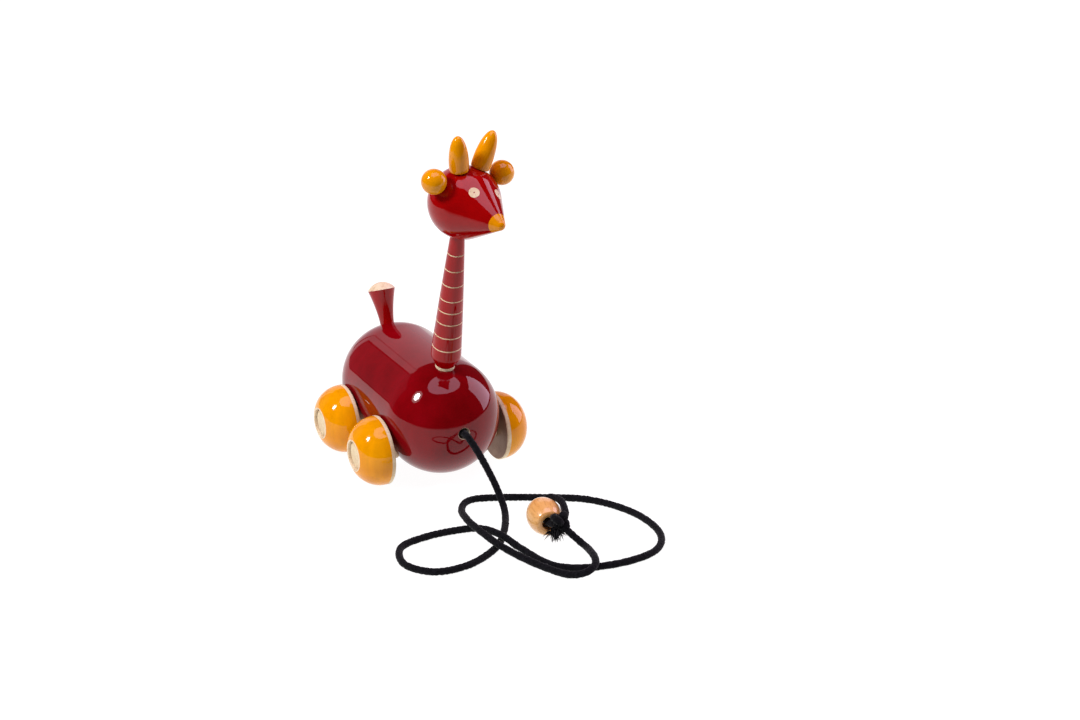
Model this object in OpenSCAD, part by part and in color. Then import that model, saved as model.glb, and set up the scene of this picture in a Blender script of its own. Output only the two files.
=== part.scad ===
// Pull-along giraffe in turned and lacquered wood, on four free-running wheels,
// with a cotton pull cord that ends in a wooden bead.
// The nose points towards -Y, +Z is up, and the floor is Z = 0. Left and right are the giraffe's own.

/* [Body] */
// Diameter of the capsule-shaped body
body_d = 68.5; // [64:0.5:69.5]
// Length of the body over its round ends
body_len = 126.5; // [118:0.5:130]
// Height of the body's underside above the floor
body_clear = 2.6; // [2:0.2:8]

/* [Wheels] */
// Diameter of a wheel
wheel_d = 40.5; // [39:0.5:42]
// Thickness of a wheel, from its flat inner face to the rim of its hub
wheel_w = 18; // [16:0.5:19]
// Distance from the middle of the toy to a wheel's inner face
wheel_inset = 35.5; // [35.5:0.5:38]
// Distance between the two axles
wheelbase = 50.5; // [46:0.5:52]
// Diameter of the axle dowels
axle_d = 8; // [7:0.5:9]

/* [Neck] */
// Length of the neck between the body and the head
neck_len = 87.6; // [80:0.2:100]
// Widest diameter of the neck, just above its foot
neck_d = 17.6; // [16:0.2:19]
// Diameter of the neck where it meets the head
neck_top_d = 8; // [7.6:0.2:9]
// Forward lean of the neck, in degrees
neck_lean = 13; // [9:0.5:15]

/* [Head] */
// Diameter of the round back of the head
head_d = 40.8; // [38:0.2:43]
// Distance from the middle of the round part to the tip of the nose
snout_len = 35.5; // [33:0.5:38]
// How far the head is turned towards the left, in degrees
head_turn = 10; // [-15:1:15]
// How far the nose points down, in degrees
head_nod = 7.5; // [0:0.5:10]
// How far the head is tilted over sideways, in degrees
head_tilt = 5; // [-5:0.5:5]
// Diameter of the ball ears
ear_d = 14; // [12:0.5:15]
// Length of the left horn
left_horn_len = 22; // [18:0.5:24]
// Length of the right horn
right_horn_len = 20.5; // [18:0.5:24]
// Widest diameter of a horn
horn_d = 11; // [10:0.2:11.6]
// Diameter of the eye plugs
eye_d = 6; // [5:0.2:6.4]

/* [Tail] */
// Length of the lacquered cone of the tail
tail_len = 21.5; // [18:0.5:24]
// Diameter of the tail at its top edge
tail_d = 16.4; // [13:0.2:17]

/* [Cord] */
// Diameter of the pull cord
cord_d = 4; // [3.6:0.1:4.2]
// Diameter of the wooden bead
bead_d = 19.6; // [19.4:0.1:19.8]
// Length of the wooden bead
bead_len = 20; // [19:0.5:20]

/* [Hidden] */
$fn = 96;

left = 1;
right = -1;
front = -1;
rear = 1;

// colours
crimson = [0.52, 0.03, 0.10];
amber = [0.95, 0.60, 0.05];
bare_wood = [0.90, 0.78, 0.60];
bead_wood = [0.93, 0.64, 0.36];
cotton_black = [0.06, 0.06, 0.07];

// clearances, all on the radius
glue_gap = 0.05;    // a glued peg in its hole
running_gap = 0.08; // a wheel on its axle
open_gap = 0.4;     // a hub cap in its recess, and a spacer beside its wheel
blind_gap = 0.5;    // left at the bottom of a blind hole
past = 1;           // how far a cutting shape runs past the surface that it cuts

// body
body_r = body_d / 2;
body_z = body_clear + body_r;
end_ball_y = body_len / 2 - body_r; // from the body's middle to the centre of each round end

// neck: its axis starts at the centre of the front round end and crosses the surface squarely
collar_len = 1.4;
collar_r = 5.6;
chamfer_len = 6.4;
neck_belly = 0.27; // how far the long taper swells past a straight cone
ring_heights = [14.8, 23.3, 32, 39.6, 47.1, 56.6, 66.2, 76.1]; // the grooves above the foot, cut by eye
ring_w = 0.6;
ring_depth = 0.3;
neck_tenon_r = 3.5;
neck_tenon_len = 15;
neck_seat = 0.8; // depth of the flat seat cut for the neck's foot
top_tenon_r = 3.4;
top_tenon_len = 12;
head_seat = 1;   // depth of the flat seat in the head for the neck's top

// head
head_r = head_d / 2;
head_aside = 2.3;  // how far the head sits to the left of the neck's axis
nose_r = 3;
snout_pitch = asin((head_r - nose_r) / (snout_len - nose_r)); // half angle of the snout's cone
head_rise = body_r + neck_len + sqrt(pow(head_r, 2) - pow(neck_top_d / 2, 2)); // from the neck axis's start
ear_rise = 33;     // degrees above the head's sideways axis
ear_sink = 0.2;
horn_spread = 19.5; // degrees between the head's upward axis and the middle of a horn's foot
left_horn_tilt = 15.5; // degrees between the head's upward axis and a horn's own axis
right_horn_tilt = 12;
horn_foot_r = horn_d / 2 - 0.35;
horn_waist = 0.2;  // share of the horn's length below its widest place
horn_fullness = 2.2; // above 2 the horn's upper part is fuller than an ellipse
peg_r = 1.75;
peg_in = 8;        // depth of a peg in each of its two pieces
left_eye_forward = 16.7; // from the middle of the head along the snout; the two were drilled by eye
right_eye_forward = 15.3;
eye_roll = 34;     // degrees around the snout from the line midway between the eyes
eye_twist = 6;     // degrees that this line is turned to the left of the snout's top
eye_len = 5;

// tail
tail_at = 27.5;    // where it stands on the rear round end, in degrees back from the top
tail_lean = 20.5;  // degrees back from upright
tail_foot_r = 4.15;
tail_flare = 1.6;  // above 1 the cone opens more towards its top
tail_dome = 4.5;   // height of the bare dome on its end
tail_dome_r = (pow(tail_d / 2, 2) + pow(tail_dome, 2)) / (2 * tail_dome);
tail_tenon_r = 2.5;
tail_tenon_len = 12;
tail_seat = 1;

// wheels and axles
wheel_r = wheel_d / 2;
axle_r = axle_d / 2;
band_w = 2.4;      // bare band beside the flat inner face
edge_r = 0.6;      // rounding at that face
hub_rim_r = 9.4;
hub_rim_w = 1.1;
dome_rise = wheel_r - hub_rim_r;
dome_run = wheel_w - band_w;
dome_r = (pow(dome_run, 2) + pow(dome_rise, 2)) / (2 * dome_rise); // arc from the band to the hub's rim
recess_r = hub_rim_r - hub_rim_w;
recess_deep = 5;
cap_w = 3;
cap_r = recess_r - open_gap;
cap_round = 0.5;
cap_socket = 1.8;  // depth of the axle's end in its cap
spacer_r = 6.5;
spacer_seat_x = 27.5; // flat seats milled on the body's sides for the spacers
spacer_seat_gap = 0.5;
hub_x = wheel_inset + wheel_w;
cap_x = hub_x - recess_deep + open_gap;
axle_half = cap_x + cap_socket;

// cord hole in the chest: a wide mouth, then a narrow end that holds the glued cord
bore_r = 3.25;
bore_x = -1; // the hole is drilled a little off the body's middle
bore_z = body_z + 1.5;
bore_deep = 14;
cord_hole_deep = 26;

// the toy is shifted along Y so that the nose and the rear end are equally far from the origin
neck_base = [0, -end_ball_y, body_z];
neck_dir = [0, -sin(neck_lean), cos(neck_lean)];
nose_tip_y = neck_base[1] + head_rise * neck_dir[1]
             - (snout_len - nose_r) * cos(head_nod) * cos(head_turn) - nose_r;
body_y = -(nose_tip_y + body_len / 2) / 2;
mouth_y = body_y - end_ball_y
        - sqrt(pow(body_r, 2) - pow(bore_x, 2) - pow(bore_z - body_z, 2) - pow(bore_r, 2));
chest_y = body_y - body_len / 2;

// the bead lies on its side on the floor
bead_at = [17.7, -109, bead_d / 2];
bead_turn = -11;   // degrees that its bore is turned away from the Y axis
bead_end_r = 6.6;
bead_bore_r = 3.6;
knot_at = [19.4, -124.8, 13.4];
knot_r = 5;
cord_r = cord_d / 2;
cord_sides = 8;

// the cord's route: out of the chest, down to the floor, through the left loop, the wide right loop and
// the long return, and up to the knot at the bead; it passes over itself in long low humps
cord_route = [
    [bore_x, mouth_y, bore_z], [-0.4, -52, 37.3], [2.6, -59.6, 29.3], [5.6, -70, 17.7], [7, -77.8, 8],
    [5, -86.3, 3], [-4, -102.3, 2.1], [-16.5, -117.3, 2.1], [-37, -127.8, 2.1], [-57, -126.8, 2.1],
    [-68, -111.8, 2.1], [-62, -93.3, 2.1], [-44, -87.8, 2.1], [-24, -89.3, 2.3], [-15.5, -98.8, 5.2],
    [-10.5, -112.8, 6.3], [-5.5, -125.3, 3.2], [1, -147.3, 2.1], [14, -158.8, 2.1], [38, -163.8, 2.1],
    [60, -159.3, 2.1], [72, -141.8, 2.1], [71, -114.8, 2.1], [57, -89.3, 2.1], [32, -72.8, 2.1],
    [5, -59.8, 2.1], [-6, -59.3, 2.1], [-13.5, -68.3, 2.4], [-18.5, -84.8, 6], [-19.8, -94.8, 7.2],
    [-17.5, -116.8, 6.4], [-11.5, -131.8, 3.8], [-3.2, -148.8, 2.1], [4, -162.8, 2.5], [11, -168.8, 4.8],
    [18, -166.3, 6.4], [22.5, -157.8, 6.2], [27.2, -141.8, 2.8], [26.2, -134.9, 3.8],
    [20.3, -126.8, 10.4]];

// the last stretch: from the knot through the bead's bore, round its left side and back into the knot
loop_route = [
    [17.2, -123.4, 11.2], [16.2, -117, 9.9], [17.7, -109, 9.8], [19.2, -101.2, 9.8], [20.3, -98.3, 10.2],
    [22.1, -96.5, 11.2], [24.5, -96.4, 12.9], [26.5, -98.2, 14.6], [27.5, -101.5, 15.7], [27.9, -105.9, 16.7],
    [27.5, -111.4, 17.1], [26, -116.7, 16.3], [24.5, -120.8, 15.4], [22.4, -123.8, 14]];

// ---- a tube swept along a route ----

// Catmull-Rom curve through the points of route at place u, counted in points
function on_curve(route, u) =
    let (last = len(route) - 1, i = min(floor(u), last - 1), t = u - i,
         a = route[max(i - 1, 0)], b = route[i], c = route[i + 1], d = route[min(i + 2, last)])
    0.5 * (2 * b + t * (c - a) + t * t * (2 * a - 5 * b + 4 * c - d) + t * t * t * (3 * b - a - 3 * c + d));

function unit(v) = v / norm(v);

// sideways direction square to travel, kept level except where the tube stands upright
function side_of(along) = unit(cross(along, abs(along[2]) > 0.98 ? [0, 1, 0] : [0, 0, 1]));

function ring_of(route, u, radius, sides) =
    let (step = 0.02, last = len(route) - 1, here = on_curve(route, u),
         along = unit(on_curve(route, min(u + step, last)) - on_curve(route, max(u - step, 0))),
         side = side_of(along), up = cross(side, along))
    [for (k = [0:sides - 1]) let (turn = 360 * (k + 0.5) / sides)
        here + radius * (cos(turn) * side + sin(turn) * up)];

module swept_tube(route, radius, sides, rings) {
    places = [for (i = [0:rings - 1]) (len(route) - 1) * i / (rings - 1)];
    points = [for (u = places) each ring_of(route, u, radius, sides)];
    walls = [for (i = [0:rings - 2], k = [0:sides - 1])
        let (j = (k + 1) % sides) [i * sides + k, i * sides + j, (i + 1) * sides + j, (i + 1) * sides + k]];
    first_cap = [for (k = [0:sides - 1]) sides - 1 - k];
    last_cap = [for (k = [0:sides - 1]) (rings - 1) * sides + k];
    polyhedron(points, concat(walls, [first_cap, last_cap]));
}

// ---- places ----

module on_body() {
    translate([0, body_y, 0]) children();
}

// origin at the centre of the front round end, Z along the neck
module along_neck() {
    on_body() translate(neck_base) rotate([neck_lean, 0, 0]) children();
}

// origin at the centre of the head's round part, nose towards -Y
module in_head() {
    on_body() translate(neck_base + head_rise * neck_dir + [head_aside, 0, 0])
        rotate([0, 0, head_turn]) rotate([head_nod, 0, 0]) rotate([0, head_tilt, 0]) children();
}

// origin on the tail's axis at its foot
module along_tail() {
    on_body() translate([0, end_ball_y + body_r * sin(tail_at), body_z + body_r * cos(tail_at)])
        rotate([-tail_lean, 0, 0]) translate([0, 0, -tail_seat]) children();
}

// origin at the seat of an ear, Z outwards along its peg
module at_ear(side) {
    in_head() rotate([0, side * (90 - ear_rise), 0]) translate([0, 0, head_r]) children();
}

// origin at the middle of a horn's foot, Z along the horn
module at_horn(side) {
    tilt = side == left ? left_horn_tilt : right_horn_tilt;
    lift = head_r / cos(horn_spread - tilt);
    in_head() translate([side * lift * sin(horn_spread), 0, lift * cos(horn_spread)])
        rotate([0, side * tilt, 0]) children();
}

// origin on the snout's surface at an eye, Z outwards
module at_eye(side) {
    forward = side == left ? left_eye_forward : right_eye_forward;
    surface_r = (head_r / sin(snout_pitch) - forward) * tan(snout_pitch);
    in_head() rotate([0, side * eye_roll + eye_twist, 0]) translate([0, -forward, surface_r])
        rotate([snout_pitch, 0, 0]) children();
}

// origin in the toy's middle plane at an axle, Z outwards to the given side
module at_axle(end, side = left) {
    on_body() translate([0, end * wheelbase / 2, wheel_r]) rotate([0, side * 90, 0]) children();
}

module at_bead() {
    translate(bead_at) rotate([0, 0, bead_turn]) rotate([90, 0, 0]) children();
}

// ---- turned body and its holes ----

module body_solid() {
    rotate([90, 0, 0]) rotate_extrude() intersection() {
        union() {
            for (end = [-1, 1]) translate([0, end * end_ball_y]) circle(r = body_r);
            translate([0, -end_ball_y]) square([body_r, 2 * end_ball_y]);
        }
        translate([0, -body_len]) square([body_r, 2 * body_len]);
    }
}

module body() {
    color(crimson) difference() {
        on_body() translate([0, 0, body_z]) body_solid();
        for (end = [front, rear]) {
            at_axle(end) cylinder(r = axle_r + glue_gap, h = 2 * body_d, center = true);
            for (side = [left, right]) at_axle(end, side) translate([0, 0, spacer_seat_x])
                cylinder(r = spacer_r + spacer_seat_gap, h = body_r);
        }
        along_neck() translate([0, 0, body_r - neck_seat]) cylinder(r = collar_r + glue_gap, h = body_r);
        along_neck() translate([0, 0, body_r - neck_seat - neck_tenon_len - blind_gap])
            cylinder(r = neck_tenon_r + glue_gap, h = body_r);
        along_tail() cylinder(r = tail_foot_r + glue_gap, h = body_r);
        along_tail() translate([0, 0, -tail_tenon_len - blind_gap])
            cylinder(r = tail_tenon_r + glue_gap, h = body_r);
        translate([bore_x, chest_y + bore_deep, bore_z]) rotate([90, 0, 0]) cylinder(r = bore_r, h = body_r);
        translate([bore_x, chest_y + cord_hole_deep, bore_z]) rotate([90, 0, 0])
            cylinder(r = cord_r + glue_gap, h = body_r);
    }
}

// radius of the tail's cone at height h above its foot
function tail_r(h) = tail_foot_r + (tail_d / 2 - tail_foot_r) * pow(h / tail_len, tail_flare);

module tail() {
    steps = 8;
    color(crimson) along_tail() rotate_extrude() {
        translate([0, -tail_tenon_len]) square([tail_tenon_r, tail_tenon_len]);
        polygon(concat([[0, 0]], [for (i = [0:steps]) let (h = tail_len * i / steps) [tail_r(h), h]],
                       [[0, tail_len]]));
        intersection() {
            translate([0, tail_len + tail_dome - tail_dome_r]) circle(r = tail_dome_r);
            translate([0, tail_len]) square([tail_d, tail_dome]);
        }
    }
}

// ---- neck ----

// radius of the long taper at height h above the foot
function taper_r(h) =
    let (from = collar_len + chamfer_len, t = (h - from) / (neck_len - from))
    neck_d / 2 + t * (neck_top_d - neck_d) / 2 + 4 * neck_belly * t * (1 - t);

module neck_outline() {
    taper_from = collar_len + chamfer_len;
    steps = 12;
    difference() {
        polygon(concat(
            [[0, -neck_seat], [collar_r, -neck_seat], [collar_r, collar_len]],
            [for (i = [0:steps]) let (h = taper_from + (neck_len - taper_from) * i / steps) [taper_r(h), h]],
            [[neck_top_d / 2, neck_len + head_seat - glue_gap], [0, neck_len + head_seat - glue_gap]]));
        for (h = ring_heights) translate([taper_r(h) - ring_depth, h - ring_w / 2]) square([1, ring_w]);
    }
}

module neck() {
    color(crimson) along_neck() translate([0, 0, body_r]) {
        rotate_extrude() neck_outline();
        translate([0, 0, -neck_seat - neck_tenon_len]) cylinder(r = neck_tenon_r, h = neck_tenon_len + past);
        translate([0, 0, neck_len - past]) cylinder(r = top_tenon_r, h = top_tenon_len + past);
    }
}

// ---- head ----

// half section of the head: Y runs forwards, and the cone meets both round ends where it touches them
module head_outline() {
    tip = snout_len - nose_r;
    back_end = head_r * sin(snout_pitch);
    front_end = tip + nose_r * sin(snout_pitch);
    intersection() {
        circle(r = head_r);
        translate([0, -head_r]) square([head_r, head_r + back_end]);
    }
    polygon([[0, back_end], [head_r * cos(snout_pitch), back_end],
             [nose_r * cos(snout_pitch), front_end], [0, front_end]]);
    intersection() {
        translate([0, tip]) circle(r = nose_r);
        translate([0, front_end]) square([nose_r, nose_r]);
    }
}

module head() {
    color(crimson) difference() {
        in_head() rotate([90, 0, 0]) rotate_extrude() head_outline();
        along_neck() translate([0, 0, body_r + neck_len + head_seat - head_r])
            cylinder(r = neck_top_d / 2 + glue_gap, h = head_r);
        along_neck() translate([0, 0, body_r + neck_len])
            cylinder(r = top_tenon_r + glue_gap, h = top_tenon_len + blind_gap);
        for (side = [left, right]) {
            at_ear(side) translate([0, 0, -peg_in - blind_gap])
                cylinder(r = peg_r + glue_gap, h = peg_in + blind_gap + past);
            at_horn(side) translate([0, 0, -peg_in - blind_gap])
                cylinder(r = peg_r + glue_gap, h = peg_in + blind_gap + past);
            at_eye(side) translate([0, 0, -eye_len]) cylinder(r = eye_d / 2 + glue_gap, h = 2 * eye_len);
        }
    }
}

module ear(side) {
    color(amber) difference() {
        at_ear(side) translate([0, 0, ear_d / 2 - ear_sink]) sphere(r = ear_d / 2);
        in_head() sphere(r = head_r + glue_gap);
        at_ear(side) translate([0, 0, -past]) cylinder(r = peg_r + glue_gap, h = peg_in + blind_gap + past);
    }
}

module ear_peg(side) {
    color(bare_wood) at_ear(side) translate([0, 0, -peg_in]) cylinder(r = peg_r, h = 2 * peg_in);
}

module horn(side) {
    steps = 14;
    horn_len = side == left ? left_horn_len : right_horn_len;
    waist = horn_len * horn_waist;
    color(amber) at_horn(side) difference() {
        rotate_extrude() polygon(concat(
            [[0, 0]],
            [for (t = [1:-0.25:0.25]) [horn_d / 2 - (horn_d / 2 - horn_foot_r) * pow(t, 2), waist * (1 - t)]],
            [for (i = [0:steps]) let (u = sin(90 * i / steps))
                [horn_d / 2 * sqrt(1 - pow(u, horn_fullness)), waist + (horn_len - waist) * u]]));
        translate([0, 0, -past]) cylinder(r = peg_r + glue_gap, h = peg_in + blind_gap + past);
    }
}

module horn_peg(side) {
    color(bare_wood) at_horn(side) translate([0, 0, -peg_in]) cylinder(r = peg_r, h = 2 * peg_in);
}

// a plug with its outer end turned flush with the snout
module eye(side) {
    color(bare_wood) at_eye(side) translate([0, 0, blind_gap - eye_len])
        cylinder(r = eye_d / 2, h = eye_len - blind_gap);
}

// ---- running gear ----

module axle(end) {
    color(bare_wood) at_axle(end) cylinder(r = axle_r, h = 2 * axle_half, center = true);
}

module spacer(end, side) {
    color(bare_wood) at_axle(end, side) translate([0, 0, spacer_seat_x]) difference() {
        cylinder(r = spacer_r, h = wheel_inset - spacer_seat_x - open_gap);
        translate([0, 0, -past]) cylinder(r = axle_r + glue_gap, h = wheel_inset);
    }
}

// half section of a wheel: Y runs outwards from its flat inner face
module wheel_outline() {
    difference() {
        union() {
            square([wheel_r - edge_r, band_w]);
            translate([0, edge_r]) square([wheel_r, band_w - edge_r]);
            translate([wheel_r - edge_r, edge_r]) circle(r = edge_r);
            intersection() {
                translate([wheel_r - dome_r, band_w]) circle(r = dome_r);
                translate([0, band_w]) square([wheel_r, dome_run]);
            }
            translate([0, band_w]) square([hub_rim_r, dome_run]);
        }
        translate([0, wheel_w - recess_deep]) square([recess_r, recess_deep + past]);
        translate([0, -past]) square([axle_r + running_gap, wheel_w]);
    }
}

module wheel(end, side) {
    color(amber) at_axle(end, side) translate([0, 0, wheel_inset]) rotate_extrude() wheel_outline();
}

// a round plug glued on the end of the axle, inside the wheel's hub
module hub_cap(end, side) {
    color(bare_wood) at_axle(end, side) translate([0, 0, cap_x]) rotate_extrude() difference() {
        union() {
            square([cap_r, cap_w - cap_round]);
            square([cap_r - cap_round, cap_w]);
            translate([cap_r - cap_round, cap_w - cap_round]) circle(r = cap_round);
        }
        translate([0, -past]) square([axle_r + glue_gap, past + cap_socket + glue_gap]);
    }
}

// ---- cord and bead ----

// the stretch inside the body, glued into the end of its hole
module cord_anchor() {
    inner_y = chest_y + cord_hole_deep - blind_gap;
    color(cotton_black) translate([bore_x, inner_y, bore_z]) rotate([90, 0, 0])
        cylinder(r = cord_r, h = inner_y - mouth_y);
}

module pull_cord() {
    color(cotton_black) swept_tube(cord_route, cord_r, cord_sides, 2 * len(cord_route) - 1);
}

module bead_loop() {
    color(cotton_black) swept_tube(loop_route, cord_r, cord_sides, 2 * len(loop_route) - 1);
}

module bead_knot() {
    color(cotton_black) translate(knot_at) sphere(r = knot_r);
}

module bead() {
    barrel_rise = bead_d / 2 - bead_end_r;
    barrel_r = (pow(bead_len / 2, 2) + pow(barrel_rise, 2)) / (2 * barrel_rise);
    color(bead_wood) at_bead() rotate_extrude() difference() {
        intersection() {
            translate([bead_d / 2 - barrel_r, 0]) circle(r = barrel_r);
            translate([0, -bead_len / 2]) square([bead_d / 2, bead_len]);
        }
        translate([0, -bead_len]) square([bead_bore_r, 2 * bead_len]);
    }
}

body();
neck();
head();
horn(left);  // horn_left
horn(right);  // horn_right
horn_peg(left);  // horn_peg_left
horn_peg(right);  // horn_peg_right
ear(left);  // ear_left
ear(right);  // ear_right
ear_peg(left);  // ear_peg_left
ear_peg(right);  // ear_peg_right
eye(left);  // eye_left
eye(right);  // eye_right
tail();
axle(front);  // axle_front
axle(rear);  // axle_rear
spacer(front, left);  // spacer_front_left
spacer(front, right);  // spacer_front_right
spacer(rear, left);  // spacer_rear_left
spacer(rear, right);  // spacer_rear_right
wheel(front, left);  // wheel_front_left
wheel(front, right);  // wheel_front_right
wheel(rear, left);  // wheel_rear_left
wheel(rear, right);  // wheel_rear_right
hub_cap(front, left);  // hub_cap_front_left
hub_cap(front, right);  // hub_cap_front_right
hub_cap(rear, left);  // hub_cap_rear_left
hub_cap(rear, right);  // hub_cap_rear_right
cord_anchor();
pull_cord();
bead_loop();
bead_knot();
bead();
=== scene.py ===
"""A pull-along giraffe in turned and lacquered wood: its camera, cord, pieces, materials and studio.

Everything is in metres in the row frame: +Z up, the nose towards -Y, +X the giraffe's left.
"""

import random
from math import asin, atan2, cos, degrees, pi, radians, sin, sqrt, tan

import bpy
from mathutils import Matrix, Vector, noise


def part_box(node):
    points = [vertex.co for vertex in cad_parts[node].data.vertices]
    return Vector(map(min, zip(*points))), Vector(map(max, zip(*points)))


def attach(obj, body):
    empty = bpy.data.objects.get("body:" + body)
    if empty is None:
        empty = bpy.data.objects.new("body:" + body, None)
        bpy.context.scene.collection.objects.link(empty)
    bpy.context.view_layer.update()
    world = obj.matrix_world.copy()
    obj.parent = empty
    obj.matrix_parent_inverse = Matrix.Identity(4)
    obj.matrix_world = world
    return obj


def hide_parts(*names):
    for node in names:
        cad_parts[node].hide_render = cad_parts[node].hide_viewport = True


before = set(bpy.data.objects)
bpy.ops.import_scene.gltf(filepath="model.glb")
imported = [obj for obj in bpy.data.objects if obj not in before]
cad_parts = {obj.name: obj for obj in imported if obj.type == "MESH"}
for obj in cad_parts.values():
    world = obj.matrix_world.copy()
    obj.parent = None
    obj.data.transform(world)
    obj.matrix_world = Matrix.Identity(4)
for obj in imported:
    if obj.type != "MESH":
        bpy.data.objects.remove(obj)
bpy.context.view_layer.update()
MM = 0.001


def box_middle(node):
    low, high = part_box(node)
    return (low + high) / 2


def box_size(node):
    low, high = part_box(node)
    return high - low


# ---------------------------------------------------------------- sizes

BODY_R = box_size("body").x / 2
BODY_MID = box_middle("body")
END_BALL = box_size("body").y / 2 - BODY_R  # from the body's middle to the centre of each round end

NECK_LEN = 87.6 * MM
NECK_R = 8.8 * MM
NECK_TOP_R = 4 * MM
NECK_LEAN = radians(13)
COLLAR_R = 5.6 * MM
COLLAR_LEN = 1.4 * MM
CHAMFER_LEN = 6.4 * MM

HEAD_R = 20.4 * MM
HEAD_ASIDE = 2.3 * MM
SNOUT_LEN = 35.5 * MM
NOSE_R = 3 * MM
NOSE_EDGE = 29.5 * MM  # the amber of the nose starts this far in front of the head's middle
HEAD_TURN = radians(10)
HEAD_NOD = radians(7.5)
HEAD_TILT = radians(5)
EAR_R = 7 * MM
EAR_RISE = radians(33)
HORN_LEN = {"left": 22 * MM, "right": 20.5 * MM}
HORN_FULLNESS = 2.2
HORN_R = 5.5 * MM
HORN_SPREAD = radians(19.5)
HORN_TILT = {"left": radians(15.5), "right": radians(12)}
EYE_R = 3 * MM
EYE_FORWARD = {"left": 16.7 * MM, "right": 15.3 * MM}
EYE_ROLL = radians(34)
EYE_TWIST = radians(6)

TAIL_AT = radians(27.5)
TAIL_LEAN = radians(20.5)
TAIL_LEN = 21.5 * MM
TAIL_R = 8.2 * MM
TAIL_FOOT_R = 4.15 * MM
TAIL_DOME = 4.5 * MM
TAIL_SEAT = 1 * MM
TAIL_FLARE = 1.6

WHEEL_R = box_size("wheel_front_left").z / 2
WHEEL_W = box_size("wheel_front_left").x
BAND_W = 2.4 * MM
HUB_RIM_R = 9.4 * MM
HUB_RIM_W = 1.1 * MM
RECESS_DEEP = 5 * MM
BORE_R = 4.08 * MM
CAP_W = 3 * MM
CAP_R = box_size("hub_cap_front_left").z / 2
SEAT_R = box_size("spacer_front_left").z / 2 + 0.5 * MM  # the flats milled in the body for the spacers
SEAT_AT = 27.5 * MM

CORD_R = 2 * MM
CORD_BORE_R = 3.25 * MM
CORD_BORE_DEEP = 14 * MM
CORD_BORE_X = -1 * MM
CORD_BORE_Z = BODY_MID.z + 1.5 * MM
BEAD_AT = box_middle("bead")
BEAD_R = box_size("bead").z / 2
BEAD_LEN = 20 * MM
BEAD_END_R = 6.6 * MM
BEAD_BORE_R = 3.6 * MM
BEAD_TURN = radians(-11)
KNOT_AT = box_middle("bead_knot")
KNOT_R = box_size("bead_knot").x / 2

SIDES = {"left": 1, "right": -1}

# ---------------------------------------------------------------- camera

VIEW_FROM = Vector((-0.48776, -1.07412, 0.56144))
VIEW_ALONG = Vector((0.42586, 0.81749, -0.38775))
SENSOR = 36
LENS = 73.63


def make_camera():
    data = bpy.data.cameras.new("camera")
    data.sensor_width = SENSOR
    data.lens = LENS
    data.clip_start = 0.05
    data.clip_end = 50
    camera = bpy.data.objects.new("camera", data)
    camera.location = VIEW_FROM
    camera.rotation_euler = VIEW_ALONG.to_track_quat("-Z", "Y").to_euler()
    bpy.context.collection.objects.link(camera)
    bpy.context.scene.camera = camera


make_camera()

# ---------------------------------------------------------------- material helpers


class Shader:
    """A principled material that is put together one node at a time."""

    def __init__(self, name, **sockets):
        self.material = bpy.data.materials.new(name)
        self.material.use_nodes = True
        self.tree = self.material.node_tree
        self.tree.nodes.clear()
        self.surface = self.node("ShaderNodeBsdfPrincipled", **sockets)
        output = self.node("ShaderNodeOutputMaterial")
        self.link(self.surface, "BSDF", output, "Surface")
        self.place = self.node("ShaderNodeTexCoord")

    def node(self, kind, **sockets):
        made = self.tree.nodes.new(kind)
        for name, value in sockets.items():
            made.inputs[name.replace("_", " ")].default_value = value
        return made

    def link(self, source, out_socket, target, in_socket):
        self.tree.links.new(source.outputs[out_socket], target.inputs[in_socket])

    def spread(self, stretch):
        """Object coordinates stretched by three factors."""
        mapping = self.node("ShaderNodeMapping", Scale=stretch)
        self.link(self.place, "Object", mapping, "Vector")
        return mapping

    def noise(self, mapping, scale, detail, rough=0.55, distort=0):
        made = self.node("ShaderNodeTexNoise", Scale=scale, Detail=detail, Roughness=rough,
                         Distortion=distort)
        self.link(mapping, "Vector", made, "Vector")
        return made

    def ramp(self, source, out_socket, stops):
        """Colour ramp with (place, colour) stops."""
        made = self.node("ShaderNodeValToRGB")
        elements = made.color_ramp.elements
        while len(elements) < len(stops):
            elements.new(0.5)
        for element, (at, colour) in zip(elements, stops):
            element.position = at
            element.color = (*colour, 1)
        self.link(source, out_socket, made, "Fac")
        return made

    def range(self, source, out_socket, low, high):
        """The source's 0 to 1 turned into low to high."""
        made = self.node("ShaderNodeMapRange", To_Min=low, To_Max=high)
        self.link(source, out_socket, made, "Value")
        return made

    def tint(self, colour, shade, amount):
        """Base colour from one ramp, darkened by an amount of another."""
        made = self.tree.nodes.new("ShaderNodeMix")
        made.data_type = "RGBA"
        made.blend_type = "MULTIPLY"
        made.inputs[0].default_value = amount
        self.tree.links.new(colour.outputs["Color"], made.inputs[6])
        self.tree.links.new(shade.outputs["Color"], made.inputs[7])
        self.tree.links.new(made.outputs[2], self.surface.inputs["Base Color"])

    def bump(self, source, out_socket, height, strength, socket="Normal"):
        made = self.node("ShaderNodeBump", Strength=strength, Distance=height)
        self.link(source, out_socket, made, "Height")
        self.link(made, "Normal", self.surface, socket)


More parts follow.
